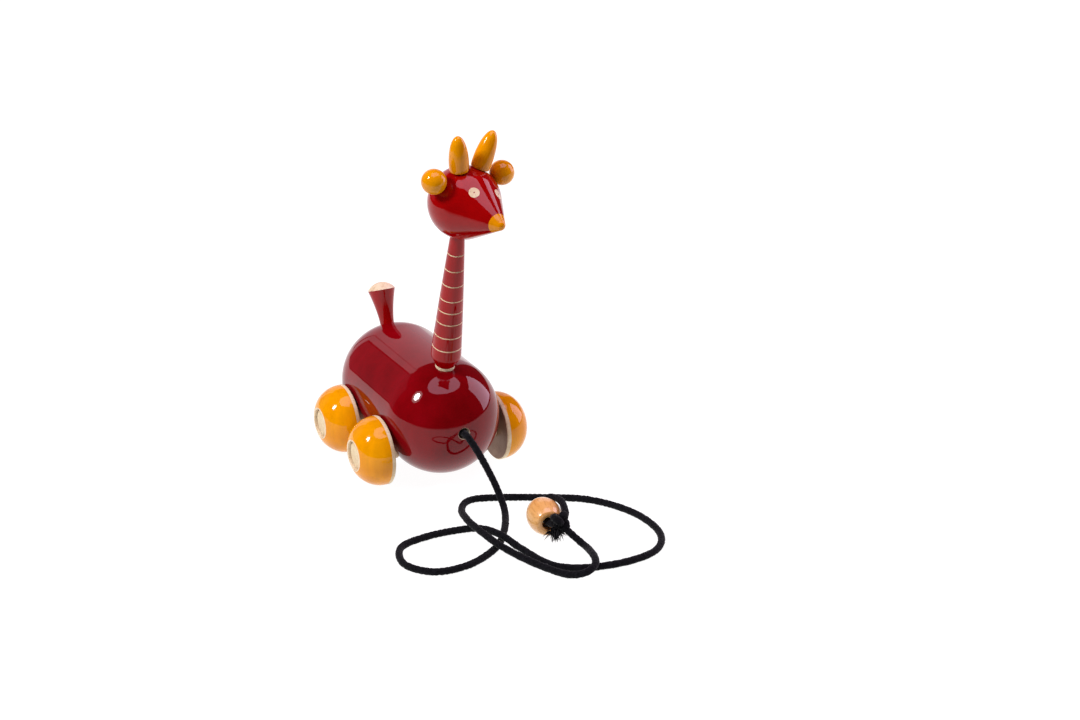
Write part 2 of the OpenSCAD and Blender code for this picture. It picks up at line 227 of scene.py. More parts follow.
def lacquer(name, deep, full, glow, along, coat_rough=0.02):
    """High-gloss lacquer over turned wood: stain that varies with the grain, and a polished coat on top."""
    shader = Shader(name, Roughness=0.5, Coat_Weight=1.0, Coat_Roughness=coat_rough, Coat_IOR=1.38)
    shader.surface.inputs["Specular IOR Level"].default_value = 0.0
    clouds = shader.noise(shader.spread(EVEN), 45, detail=4)
    colour = shader.ramp(clouds, "Fac", [(0.30, deep), (0.52, full), (0.75, glow)])
    grain = shader.noise(shader.spread(along), 260, detail=5, rough=0.6)
    fibres = shader.ramp(grain, "Fac", [(0.38, (0.86, 0.86, 0.86)), (0.60, (1, 1, 1))])
    shader.tint(colour, fibres, 0.55)
    ripples = shader.noise(shader.spread(EVEN), 120, detail=2)
    shader.bump(ripples, "Fac", 0.03 * MM, strength=0.5, socket="Coat Normal")
    shader.bump(grain, "Fac", 0.05 * MM, strength=0.4)
    return shader.material


def plain_wood(name, pale, warm, dark, along, rough=0.5, coat=0.0):
    """Bare turned wood: long fibres and fine pores."""
    shader = Shader(name, Coat_Weight=coat, Coat_Roughness=0.06, Coat_IOR=1.5)
    shader.surface.inputs["Specular IOR Level"].default_value = 0.35
    figure = shader.noise(shader.spread(along), 90, detail=5, rough=0.6, distort=0.4)
    colour = shader.ramp(figure, "Fac", [(0.28, dark), (0.47, warm), (0.68, pale)])
    pores = shader.noise(shader.spread(along), 900, detail=2)
    specks = shader.ramp(pores, "Fac", [(0.34, (0.72, 0.62, 0.52)), (0.45, (1, 1, 1))])
    shader.tint(colour, specks, 0.6)
    shine = shader.range(figure, "Fac", rough + 0.08, rough - 0.08)
    shader.link(shine, "Result", shader.surface, "Roughness")
    shader.bump(pores, "Fac", 0.06 * MM, strength=0.35)
    return shader.material


def cotton(name, dark, pale):
    """Black cotton yarn: soft, matt, with a faint sheen from its loose fibres."""
    shader = Shader(name, Roughness=0.9, Sheen_Weight=0.12, Sheen_Roughness=0.4)
    shader.surface.inputs["Specular IOR Level"].default_value = 0.08
    yarn = shader.noise(shader.spread(EVEN), 700, detail=4, rough=0.7)
    colour = shader.ramp(yarn, "Fac", [(0.35, dark), (0.72, pale)])
    shader.link(colour, "Color", shader.surface, "Base Color")
    fibres = shader.noise(shader.spread(EVEN), 2200, detail=3)
    shader.bump(fibres, "Fac", 0.15 * MM, strength=0.6)
    return shader.material


# stretches for wood grain: fibres run along the slow axis
ALONG_Z = (1, 1, 0.12)
ALONG_X = (0.12, 1, 1)
EVEN = (1, 1, 1)

CRIMSON = lacquer("crimson_lacquer", deep=(0.170, 0.0003, 0.002), full=(0.210, 0.0005, 0.003),
                  glow=(0.240, 0.0008, 0.005), along=ALONG_Z)
SCARLET = lacquer("scarlet_lacquer", deep=(0.290, 0.0003, 0.001), full=(0.345, 0.0004, 0.001),
                  glow=(0.390, 0.0006, 0.002), along=ALONG_Z)
AMBER = lacquer("amber_lacquer", deep=(0.740, 0.250, 0.0), full=(0.830, 0.315, 0.0),
                glow=(0.890, 0.365, 0.002), along=ALONG_X, coat_rough=0.03)
BARE = plain_wood("bare_wood", pale=(0.86, 0.72, 0.52), warm=(0.78, 0.61, 0.41), dark=(0.62, 0.44, 0.27),
                  along=ALONG_Z)
END_GRAIN = plain_wood("end_grain", pale=(0.84, 0.72, 0.50), warm=(0.76, 0.61, 0.39), dark=(0.60, 0.43, 0.25),
                       along=EVEN)
BEAD_WOOD = plain_wood("bead_wood", pale=(0.82, 0.45, 0.16), warm=(0.76, 0.38, 0.11), dark=(0.64, 0.27, 0.06),
                       along=ALONG_Z, rough=0.35, coat=0.8)
# bare wood darkened to paint the shade that the body casts on the wheels' inner faces
INNER_FACE_PAINTED_SHADE = plain_wood("painted_shade_wood", pale=(0.29, 0.165, 0.095), warm=(0.23, 0.125, 0.07),
                         dark=(0.16, 0.08, 0.04), along=EVEN)
PITH = plain_wood("pith_mark", pale=(0.30, 0.18, 0.09), warm=(0.22, 0.12, 0.06), dark=(0.12, 0.06, 0.03),
                  along=EVEN)
COTTON = cotton("black_cotton", dark=(0.0015, 0.0015, 0.0022), pale=(0.009, 0.009, 0.012))
FLUFF = cotton("cotton_fluff", dark=(0.003, 0.003, 0.004), pale=(0.014, 0.014, 0.018))

# ---------------------------------------------------------------- mesh helpers


def add_piece(name, mesh, body, node=None, place=None):
    """Puts a mesh in its place as a piece that rides on a body and stands for a CAD node."""
    piece = bpy.data.objects.new(name, mesh)
    bpy.context.collection.objects.link(piece)
    if place is not None:
        piece.matrix_world = place
    if node:
        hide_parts(node)
    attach(piece, body)
    return piece


def smooth(mesh, angle=32):
    mesh.polygons.foreach_set("use_smooth", [True] * len(mesh.polygons))
    mesh.set_sharp_from_angle(angle=radians(angle))
    mesh.update()


ON_AXIS = 1e-7  # an outline's point nearer than this closes the shape


def lathe_mesh(name, bands, around):
    """Turned shape about Z. bands is a list of (material, outline); an outline is a list of (radius, height)
    points, and each band starts where the last one ended. A point with no radius closes the shape."""
    outline = []
    band_of = []
    for index, (_, points) in enumerate(bands):
        for point in points if index == 0 else points[1:]:
            outline.append(point)
            band_of.append(index)
    vertices = []
    rings = []
    for radius, height in outline:
        if radius < ON_AXIS:
            rings.append([len(vertices)] * around)
            vertices.append((0, 0, height))
            continue
        rings.append([len(vertices) + k for k in range(around)])
        for k in range(around):
            turn = 2 * pi * k / around
            vertices.append((radius * cos(turn), radius * sin(turn), height))
    faces = []
    slots = []
    closed = rings[0][0] != rings[0][1] and rings[-1][0] != rings[-1][1]
    pairs = [(i, i + 1) for i in range(len(rings) - 1)]
    if closed:
        pairs.append((len(rings) - 1, 0))
    for i, j in pairs:
        for k in range(around):
            after = (k + 1) % around
            corners = [rings[i][k], rings[i][after], rings[j][after], rings[j][k]]
            faces.append(list(dict.fromkeys(corners)))
            slots.append(band_of[j] if j else band_of[i])
    mesh = bpy.data.meshes.new(name)
    mesh.from_pydata(vertices, [], faces)
    mesh.validate()
    for material, _ in bands:
        mesh.materials.append(material)
    mesh.polygons.foreach_set("material_index", slots)
    smooth(mesh)
    return mesh


def arc(middle, radius, start, stop, steps):
    """Points of a circle's arc in an outline, from one angle to the other; 0 is outwards and 90 up."""
    angles = [radians(start + (stop - start) * i / steps) for i in range(steps + 1)]
    return [(middle[0] + radius * cos(a), middle[1] + radius * sin(a)) for a in angles]


def turn_z_to(direction):
    """Rotation that takes +Z to a direction."""
    return Vector(direction).to_track_quat("Z", "Y").to_matrix().to_4x4()


# ---------------------------------------------------------------- cord

CORD_ROUTE = [
    (-1, -46.85, 38.35), (-0.4, -52, 37.3), (2.6, -59.6, 29.3), (5.6, -70, 17.7), (7, -77.8, 8),
    (5, -86.3, 3), (-4, -102.3, 2.1), (-16.5, -117.3, 2.1), (-37, -127.8, 2.1), (-57, -126.8, 2.1),
    (-68, -111.8, 2.1), (-62, -93.3, 2.1), (-44, -87.8, 2.1), (-24, -89.3, 2.3), (-15.5, -98.8, 5.2),
    (-10.5, -112.8, 6.3), (-5.5, -125.3, 3.2), (1, -147.3, 2.1), (14, -158.8, 2.1), (38, -163.8, 2.1),
    (60, -159.3, 2.1), (72, -141.8, 2.1), (71, -114.8, 2.1), (57, -89.3, 2.1), (32, -72.8, 2.1),
    (5, -59.8, 2.1), (-6, -59.3, 2.1), (-13.5, -68.3, 2.4), (-18.5, -84.8, 6), (-19.8, -94.8, 7.2),
    (-17.5, -116.8, 6.4), (-11.5, -131.8, 3.8), (-3.2, -148.8, 2.1), (4, -162.8, 2.5), (11, -168.8, 4.8),
    (18, -166.3, 6.4), (22.5, -157.8, 6.2), (27.2, -141.8, 2.8), (26.2, -134.9, 3.8),
    (20.3, -126.8, 10.4),
]
LOOP_ROUTE = [
    (17.2, -123.4, 11.2), (16.2, -117, 9.9), (17.7, -109, 9.8), (19.2, -101.2, 9.8), (20.3, -98.3, 10.2),
    (22.1, -96.5, 11.2), (24.5, -96.4, 12.9), (26.5, -98.2, 14.6), (27.5, -101.5, 15.7), (27.9, -105.9, 16.7),
    (27.5, -111.4, 17.1), (26, -116.7, 16.3), (24.5, -120.8, 15.4), (22.4, -123.8, 14),
]
CORD_STEP = 0.4 * MM
CORD_SIDES = 24
CURVE_STEPS = 4000
BRAID_PITCH = 5.5 * MM
BRAID_OUT = 1.02  # shares of the cord's radius, this one and the next three
BRAID_DEPTH = 0.12
BRAID_SWELL = 0.08
BRAID_ROUGH = 0.10
SWELL_PITCH = 3.5 * MM
ROUGH_PITCH = 0.9 * MM
FLUFF_PER_MM = 5
FLUFF_R = 0.055 * MM
KNOT_TUBE_R = 2.15 * MM
KNOT_SLACK = 0.8 * MM
KNOT_STEPS = 240


def on_curve(route, place):
    """Catmull-Rom curve through the route's points, at a place counted in points."""
    last = len(route) - 1
    i = min(int(place), last - 1)
    t = place - i
    a, b, c, d = (Vector(route[k]) for k in (max(i - 1, 0), i, i + 1, min(i + 2, last)))
    bend = t * t * (2 * a - 5 * b + 4 * c - d)
    return 0.5 * (2 * b + t * (c - a) + bend + t ** 3 * (3 * b - a - 3 * c + d)) * MM


def even_path(route, step):
    """The curve as points a step apart, and its length."""
    fine = [on_curve(route, (len(route) - 1) * i / CURVE_STEPS) for i in range(CURVE_STEPS + 1)]
    run = [0.0]
    for before, after in zip(fine, fine[1:]):
        run.append(run[-1] + (after - before).length)
    count = int(run[-1] / step)
    path = []
    k = 0
    for n in range(count + 1):
        wanted = run[-1] * n / count
        while k < len(run) - 2 and run[k + 1] < wanted:
            k += 1
        share = (wanted - run[k]) / (run[k + 1] - run[k])
        path.append(fine[k].lerp(fine[k + 1], share))
    return path, run[-1]


def carried_frames(path):
    """A direction, side and up for each point of a path, with no sudden twist between neighbours."""
    frames = []
    side = None
    for n, here in enumerate(path):
        along = (path[min(n + 1, len(path) - 1)] - path[max(n - 1, 0)]).normalized()
        if side is None:
            side = along.cross(Vector((0, 0, 1))).normalized()
        side = (side - along * side.dot(along)).normalized()
        frames.append((here, along, side, along.cross(side)))
    return frames


def braid_relief(turn, run):
    """0 to 1 over a round braid: two sets of strands that cross."""
    twist = 2 * pi * run / BRAID_PITCH
    over = cos(4 * turn + 2 * twist)
    under = cos(4 * turn - 2 * twist)
    return 0.5 + 0.5 * max(over, under)


def yarn_mesh(name, vertices, faces, material):
    mesh = bpy.data.meshes.new(name)
    mesh.from_pydata(vertices, [], faces)
    mesh.materials.append(material)
    smooth(mesh, 60)
    return mesh


def braided_tube(name, path, radius, seed):
    """Closed tube with a braid's relief and an uneven thickness, flat where it meets the floor."""
    sides = CORD_SIDES
    step = (path[1] - path[0]).length
    vertices = []
    for n, (here, _, side, up) in enumerate(carried_frames(path)):
        run = n * step
        swell = BRAID_OUT + BRAID_SWELL * noise.noise(Vector((run / SWELL_PITCH, seed, 0)))
        for k in range(sides):
            turn = 2 * pi * k / sides
            spot = Vector((run / ROUGH_PITCH, 3 * cos(turn) + seed, 3 * sin(turn)))
            rough = BRAID_ROUGH * noise.noise(spot)
            reach = radius * (swell - BRAID_DEPTH * (1 - braid_relief(turn, run)) + rough)
            point = here + reach * (cos(turn) * side + sin(turn) * up)
            vertices.append((point.x, point.y, max(point.z, 0)))
    faces = []
    rings = len(path)
    for n in range(rings - 1):
        for k in range(sides):
            after = (k + 1) % sides
            faces.append([n * sides + k, n * sides + after, (n + 1) * sides + after, (n + 1) * sides + k])
    faces.append(list(range(sides))[::-1])
    faces.append([(rings - 1) * sides + k for k in range(sides)])
    return yarn_mesh(name, vertices, faces, COTTON)


def add_hair(vertices, faces, root, tip, bow, width):
    """One bent, tapering fibre with three sides, in two lengths."""
    along = (tip - root).normalized()
    side = along.orthogonal().normalized()
    up = along.cross(side)
    first = len(vertices)
    for at, share in ((root, 1.0), (root.lerp(tip, 0.5) + bow, 0.7)):
        for k in range(3):
            turn = 2 * pi * k / 3
            vertices.append(at + width * share * (cos(turn) * side + sin(turn) * up))
    vertices.append(tip)
    for k in range(3):
        after = (k + 1) % 3
        faces.append([first + k, first + after, first + 3 + after, first + 3 + k])
        faces.append([first + 3 + k, first + 3 + after, first + 6])
    faces.append([first + 2, first + 1, first])


def fluff_mesh(name, path, radius, seed, per_mm=FLUFF_PER_MM):
    """Loose fibres that stand off a cord, none of them under the floor."""
    rng = random.Random(seed)
    frames = carried_frames(path)
    length_mm = (path[1] - path[0]).length * (len(path) - 1) / MM
    vertices = []
    faces = []
    for _ in range(int(length_mm * per_mm)):
        here, along, side, up = frames[rng.randrange(len(frames))]
        turn = rng.uniform(0, 2 * pi)
        out = cos(turn) * side + sin(turn) * up
        lean = along * rng.uniform(-1.2, 1.2) + out.cross(along) * rng.uniform(-0.8, 0.8)
        reach = rng.uniform(0.2, 0.55) + 0.5 * rng.random() ** 6
        root = here + out * radius * 0.9
        tip = root + (out + lean).normalized() * reach * MM
        if tip.z < 0.1 * MM:
            continue
        bow = Vector((rng.uniform(-1, 1), rng.uniform(-1, 1), rng.uniform(-1, 1))) * 0.08 * MM
        add_hair(vertices, faces, root, tip, bow, FLUFF_R)
    return yarn_mesh(name, vertices, faces, FLUFF)


def knot_path():
    """Centreline of a tight overhand knot round the middle of its CAD ball."""
    size = (KNOT_R - KNOT_SLACK) / 3
    tilt = Matrix.Rotation(radians(55), 3, "X") @ Matrix.Rotation(radians(20), 3, "Y")
    path = []
    for n in range(KNOT_STEPS + 1):
        t = 2 * pi * n / KNOT_STEPS
        point = Vector((sin(t) + 2 * sin(2 * t), cos(t) - 2 * cos(2 * t), -1.35 * sin(3 * t)))
        path.append(KNOT_AT + tilt @ point * size)
    return path


def frayed_end():
    """The cut end under the knot: a short thick tuft that opens into loose yarns, with a few long wisps."""
    rng = random.Random(11)
    start = KNOT_AT + Vector((-3.4, -1.6, -3.2)) * MM
    tufts = [
        (64, Vector((-0.15, -0.25, -1.0)), 0.30, (4.5, 8.5)),
        (13, Vector((-1.1, 0.1, -0.45)), 0.26, (5.0, 9.5)),
        (15, Vector((0.75, -0.35, -0.75)), 0.22, (5.0, 9.0)),
    ]
    vertices = []
    faces = []
    for count, heading, spread, (shortest, longest) in tufts:
        for _ in range(count):
            way = heading + Vector((rng.gauss(0, spread), rng.gauss(0, spread), rng.gauss(0, spread)))
            offset = Vector((rng.uniform(-1.9, 1.9), rng.uniform(-1.2, 1.2), rng.uniform(-1.2, 1.4)))
            root = start + offset * MM
            tip = root + way.normalized() * rng.uniform(shortest, longest) * MM
            tip.z = max(tip.z, 0.6 * MM)
            bow = Vector((rng.uniform(-1, 1), rng.uniform(-1, 1), rng.uniform(-0.3, 1))) * 0.8 * MM
            add_hair(vertices, faces, root, tip, bow, rng.uniform(0.32, 0.68) * MM)
    return yarn_mesh("frayed_end", vertices, faces, COTTON)


def add_yarn(name, mesh, node=None):
    return add_piece(name, mesh, "root", node)


def make_cords():
    """The cord, the loop through the bead, the knot that joins them and their loose fibres, with the bead."""
    cord_path, cord_length = even_path(CORD_ROUTE, CORD_STEP)
    loop_path, loop_length = even_path(LOOP_ROUTE, CORD_STEP)
    cord = add_yarn("cord", braided_tube("cord", cord_path, CORD_R, seed=1.0), "pull_cord")
    loop = add_yarn("cord_loop", braided_tube("cord_loop", loop_path, CORD_R, seed=5.0), "bead_loop")
    knot = add_yarn("cord_knot", braided_tube("cord_knot", knot_path(), KNOT_TUBE_R, seed=9.0), "bead_knot")
    fray = add_yarn("cord_fray", frayed_end())
    cord_fluff = add_yarn("cord_fluff", fluff_mesh("cord_fluff", cord_path, CORD_R, 3))
    loop_fluff = add_yarn("loop_fluff", fluff_mesh("loop_fluff", loop_path, CORD_R, 4))
    knot_fluff = add_yarn("knot_fluff", fluff_mesh("knot_fluff", knot_path(), KNOT_TUBE_R, 5, per_mm=9))
    bead = make_bead()


def make_bead():
    """Barrel-shaped bead on its side, with rounded ends and a bore for the cord."""
    rise = BEAD_R - BEAD_END_R
    half = BEAD_LEN / 2
    barrel_r = (half ** 2 + rise ** 2) / (2 * rise)
    bulge = asin(half / barrel_r)
    last = degrees(bulge) * 0.93  # the rest of the barrel's arc is rounded off
    outside = arc((BEAD_R - barrel_r, 0), barrel_r, -last, last, 40)
    lip = 1.1 * MM
    top = [(BEAD_END_R - 0.6 * MM, half - 0.25 * MM), (BEAD_END_R - 1.5 * MM, half - 0.1 * MM),
           (BEAD_BORE_R + lip / 2, half - 0.35 * MM), (BEAD_BORE_R + lip / 6, half - lip)]
    wall = [(BEAD_BORE_R, half - 2 * lip), (BEAD_BORE_R, 0), (BEAD_BORE_R, 2 * lip - half)]
    bottom = [(r, -h) for r, h in reversed(top)]
    mesh = lathe_mesh("bead", [(BEAD_WOOD, outside + top + wall + bottom)], around=128)
    smooth(mesh, 50)
    place = Matrix.Translation(BEAD_AT) @ Matrix.Rotation(BEAD_TURN, 4, "Z") @ Matrix.Rotation(pi / 2, 4, "X")
    return add_piece("cord_bead", mesh, "root", "bead", place)


make_cords()

# ---------------------------------------------------------------- body


def capsule_outline():
    upper = arc((0, END_BALL), BODY_R, 0, 90, 56)
    lower = [(r, -h) for r, h in reversed(upper)]
    middle = [(BODY_R, END_BALL * (i / 12 - 1)) for i in range(1, 24)]
    return lower + middle + upper


def cutter(name, start, direction, outline):
    """Turned cutting shape that starts at a point and runs along a direction."""
    made = bpy.data.objects.new(name, lathe_mesh(name, [(BARE, outline)], around=96))
    bpy.context.collection.objects.link(made)
    made.matrix_world = Matrix.Translation(start) @ turn_z_to(direction)
    return made


def bore_cutter():
    """The cord's hole in the chest, with a chamfered mouth."""
    lip = 0.45 * MM
    mouth = CORD_BORE_DEEP - BODY_R + sqrt(BODY_R ** 2 - CORD_BORE_R ** 2)
    outline = [(0, 0), (CORD_BORE_R, 0), (CORD_BORE_R, mouth - lip), (CORD_BORE_R + lip * 2, mouth + lip),
               (CORD_BORE_R + lip * 2, 2 * mouth), (0, 2 * mouth)]
    start = (CORD_BORE_X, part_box("body")[0].y + CORD_BORE_DEEP, CORD_BORE_Z)
    return cutter("cut_bore", start, (0, -1, 0), outline)


def seat_cutters():
    """The four flats that the wheels' spacers stand on."""
    length = 20 * MM
    outline = [(0, 0), (SEAT_R, 0), (SEAT_R, length), (0, length)]
    made = []
    for end in ("front", "rear"):
        axle = box_middle("axle_" + end)
        for side in SIDES.values():
            made.append(cutter("cut_seat", (side * SEAT_AT, axle.y, axle.z), (side, 0, 0), outline))
    return made


def cut_capsule(cutters):
    """The capsule's mesh in its place, with the cutting shapes taken out of it."""
    mesh = lathe_mesh("body", [(CRIMSON, capsule_outline())], around=224)
    whole = bpy.data.objects.new("whole", mesh)
    bpy.context.collection.objects.link(whole)
    whole.matrix_world = Matrix.Translation(BODY_MID) @ Matrix.Rotation(pi / 2, 4, "X")
    for tool in cutters:
        change = whole.modifiers.new(tool.name, "BOOLEAN")
        change.operation = "DIFFERENCE"
        change.solver = "EXACT"
        change.material_mode = "TRANSFER"
        change.object = tool
    bpy.context.view_layer.update()
    seen = whole.evaluated_get(bpy.context.evaluated_depsgraph_get())
    cut = bpy.data.meshes.new_from_object(seen)
    cut.transform(whole.matrix_world)
    for used in (whole, *cutters):
        bpy.data.objects.remove(used)
    return cut


def capsule_normal(point):
    centre_y = min(max(point.y, BODY_MID.y - END_BALL), BODY_MID.y + END_BALL)
    return point - Vector((0, centre_y, BODY_MID.z))


def clean_normals(mesh):
    """Outer faces take the capsule's own normals, so that its reflections stay clean, and the walls of the
    holes keep theirs."""
    smooth(mesh, 30)
    normals = [None] * len(mesh.loops)
    for face in mesh.polygons:
        outer = mesh.materials[face.material_index] == CRIMSON
        for index in face.loop_indices:
            normal = capsule_normal(mesh.vertices[mesh.loops[index].vertex_index].co)
            if outer and abs(normal.length - BODY_R) < 0.1 * MM:
                normals[index] = normal.normalized()
            else:
                normals[index] = Vector(mesh.corner_normals[index].vector)
    mesh.normals_split_custom_set(normals)


def make_body():
    """The capsule with its cord hole and the flat seats of the spacers."""
    mesh = cut_capsule([bore_cutter()] + seat_cutters())
    clean_normals(mesh)
    add_piece("giraffe_body", mesh, "root", "body")


make_body()

# ---------------------------------------------------------------- neck and head

NECK_BASE = Vector((0, BODY_MID.y - END_BALL, BODY_MID.z))
NECK_DIR = Vector((0, -sin(NECK_LEAN), cos(NECK_LEAN)))
HEAD_RISE = BODY_R + NECK_LEN + sqrt(HEAD_R ** 2 - NECK_TOP_R ** 2)
NECK_PLACE = Matrix.Translation(NECK_BASE + NECK_DIR * BODY_R) @ Matrix.Rotation(NECK_LEAN, 4, "X")
HEAD_PLACE = (
    Matrix.Translation(NECK_BASE + NECK_DIR * HEAD_RISE + Vector((HEAD_ASIDE, 0, 0)))
    @ Matrix.Rotation(HEAD_TURN, 4, "Z")
    @ Matrix.Rotation(HEAD_NOD, 4, "X")
    @ Matrix.Rotation(HEAD_TILT, 4, "Y")
)
SNOUT_PITCH = asin((HEAD_R - NOSE_R) / (SNOUT_LEN - NOSE_R))  # half angle of the snout's cone

RING_HEIGHTS = [h * MM for h in (14.8, 23.3, 32, 39.6, 47.1, 56.6, 66.2, 76.1)]
RING_W = 0.62 * MM
RING_DEPTH = 0.28 * MM
NECK_BELLY = 0.27 * MM


def taper_r(height):
    """Radius of the neck's long taper above the chamfer."""
    start = COLLAR_LEN + CHAMFER_LEN
    t = (height - start) / (NECK_LEN - start)
    return NECK_R + t * (NECK_TOP_R - NECK_R) + 4 * NECK_BELLY * t * (1 - t)


def make_neck():
    """Collar, chamfer and long taper, cut by eight thin grooves that show the bare wood."""
    start = COLLAR_LEN + CHAMFER_LEN
    foot = -0.8 * MM
    round_by = 0.5 * MM
    bands = [
        (BARE, [(0, foot), (COLLAR_R, foot), (COLLAR_R, COLLAR_LEN - 0.15 * MM),
                (COLLAR_R - 0.1 * MM, COLLAR_LEN)]),
        (SCARLET, [(COLLAR_R, COLLAR_LEN), (COLLAR_R + 0.15 * MM, COLLAR_LEN + 0.15 * MM),
                   (NECK_R - 0.45 * MM, start - 2 * round_by), (NECK_R - 0.12 * MM, start - round_by * 0.8),
                   (NECK_R - 0.02 * MM, start)]),
    ]
    for middle in RING_HEIGHTS:
        low = middle - RING_W / 2
        high = middle + RING_W / 2
        steps = [start + (low - start) * k / 5 for k in range(1, 5)]
        bands.append((SCARLET, [(taper_r(start), start)] + [(taper_r(h), h) for h in steps]
                      + [(taper_r(low), low - 0.05 * MM)]))
        bands.append((BARE, [(taper_r(low), low), (taper_r(middle) - RING_DEPTH, low + 0.12 * MM),
                             (taper_r(middle) - RING_DEPTH, high - 0.12 * MM), (taper_r(high), high)]))
        start = high
    top = NECK_LEN + 0.9 * MM
    steps = [start + (top - start) * k / 8 for k in range(1, 9)]
    upper = [(taper_r(start), start + 0.05 * MM)] + [(taper_r(h), h) for h in steps]
    bands.append((SCARLET, upper + [(0, top)]))
    mesh = lathe_mesh("neck", bands, around=128)
    add_piece("giraffe_neck", mesh, "root", "neck", NECK_PLACE)


def make_head():
    """Ball and cone turned in one, with an amber nose; Z runs forwards along the snout."""
    slope = (cos(SNOUT_PITCH), sin(SNOUT_PITCH))
    tip = SNOUT_LEN - NOSE_R
    back = arc((0, 0), HEAD_R, -90, degrees(SNOUT_PITCH), 64)
    front = (NOSE_R * slope[0], tip + NOSE_R * slope[1])

    def cone(height):
        share = (height - back[-1][1]) / (front[1] - back[-1][1])
        return (back[-1][0] + share * (front[0] - back[-1][0]), height)

    side = [cone(back[-1][1] + (NOSE_EDGE - back[-1][1]) * k / 12) for k in range(1, 13)]
    nose = [cone(NOSE_EDGE), cone((NOSE_EDGE + front[1]) / 2)]
    nose += arc((0, tip), NOSE_R, degrees(SNOUT_PITCH), 90, 16)
    mesh = lathe_mesh("head", [(SCARLET, back + side), (AMBER, nose)], around=192)
    place = HEAD_PLACE @ Matrix.Rotation(pi / 2, 4, "X")
    add_piece("giraffe_head", mesh, "root", "head", place)


def horn_outline(length):
    """Half section of a horn that is widest a little above its foot."""
    waist = length * 0.2
    foot = HORN_R - 0.35 * MM
    outline = [(0, 0), (foot - 0.3 * MM, 0), (foot, 0.25 * MM)]
    outline += [(HORN_R - (HORN_R - foot) * (1 - k / 6) ** 2, waist * k / 6) for k in range(1, 6)]
    for k in range(37):
        u = sin(pi / 2 * k / 36)
        outline.append((HORN_R * sqrt(max(0, 1 - u ** HORN_FULLNESS)), waist + (length - waist) * u))
    return outline


def add_ear(side_name, side):
    sunk = 0.2 * MM
    ball = lathe_mesh("ear", [(AMBER, arc((0, 0), EAR_R, -90, 90, 64))], around=96)
    out = Matrix.Rotation(side * (pi / 2 - EAR_RISE), 4, "Y")
    place = HEAD_PLACE @ out @ Matrix.Translation((0, 0, HEAD_R + EAR_R - sunk))
    add_piece("ear_ball_" + side_name, ball, "root", "ear_" + side_name, place)


def add_horn(side_name, side):
    """A horn that leans out a little less than a spoke of the head would."""
    tilt = HORN_TILT[side_name]
    lift = HEAD_R / cos(HORN_SPREAD - tilt)
    foot_at = Matrix.Translation((side * lift * sin(HORN_SPREAD), 0, lift * cos(HORN_SPREAD)))
    place = HEAD_PLACE @ foot_at @ Matrix.Rotation(side * tilt, 4, "Y")
    horn = lathe_mesh("horn", [(AMBER, horn_outline(HORN_LEN[side_name]))], around=96)
    add_piece("horn_cone_" + side_name, horn, "root", "horn_" + side_name, place)


def make_ears_and_horns():
    for side_name, side in SIDES.items():
        add_ear(side_name, side)
        add_horn(side_name, side)


def make_eyes():
    """Plugs turned flush with the snout, with the small mark of a centre point in each."""
    proud = 0.12 * MM
    dot = 0.42 * MM
    rim = [(EYE_R, -1.5 * MM), (EYE_R, -0.06 * MM), (EYE_R - 0.08 * MM, 0)]
    face = [(EYE_R - (EYE_R - dot) * k / 8, 0) for k in range(1, 9)]
    dimple = [(dot, 0), (dot * 0.8, -0.25 * MM), (0, -0.5 * MM)]
    for side_name, side in SIDES.items():
        forward = EYE_FORWARD[side_name]
        snout_r = (HEAD_R / sin(SNOUT_PITCH) - forward) * tan(SNOUT_PITCH)
        bend_r = snout_r / cos(SNOUT_PITCH)
        mesh = lathe_mesh("eye", [(END_GRAIN, [(0, -1.5 * MM)] + rim + face), (PITH, dimple)], around=72)
        for vertex in mesh.vertices:
            if vertex.co.z > -1 * MM:
                vertex.co.z += proud - vertex.co.x ** 2 / (2 * bend_r)
        place = (HEAD_PLACE @ Matrix.Rotation(side * EYE_ROLL + EYE_TWIST, 4, "Y")
                 @ Matrix.Translation((0, -forward, snout_r)) @ Matrix.Rotation(SNOUT_PITCH, 4, "X"))
        add_piece("eye_plug_" + side_name, mesh, "root", "eye_" + side_name, place)


make_neck()
make_head()
make_ears_and_horns()
make_eyes()

# ---------------------------------------------------------------- tail


def make_tail():
    """A flared cone with a bare dome on its wide end."""
    dome_r = (TAIL_R ** 2 + TAIL_DOME ** 2) / (2 * TAIL_DOME)
    edge = degrees(asin((dome_r - TAIL_DOME) / dome_r))
    flare = TAIL_R - TAIL_FOOT_R
    cone = [(TAIL_FOOT_R + flare * (k / 20) ** TAIL_FLARE, TAIL_LEN * k / 20) for k in range(21)]
    dome = arc((0, TAIL_LEN + TAIL_DOME - dome_r), dome_r, edge, 90, 24)
    bands = [(SCARLET, [(0, 0)] + cone), (BARE, [cone[-1]] + dome[1:])]
    mesh = lathe_mesh("tail", bands, around=112)
    foot = Vector((0, BODY_MID.y + END_BALL + BODY_R * sin(TAIL_AT), BODY_MID.z + BODY_R * cos(TAIL_AT)))
    seat = Matrix.Translation((0, 0, -TAIL_SEAT))
    place = Matrix.Translation(foot) @ Matrix.Rotation(-TAIL_LEAN, 4, "X") @ seat
    add_piece("giraffe_tail", mesh, "root", "tail", place)


make_tail()

# ---------------------------------------------------------------- wheels


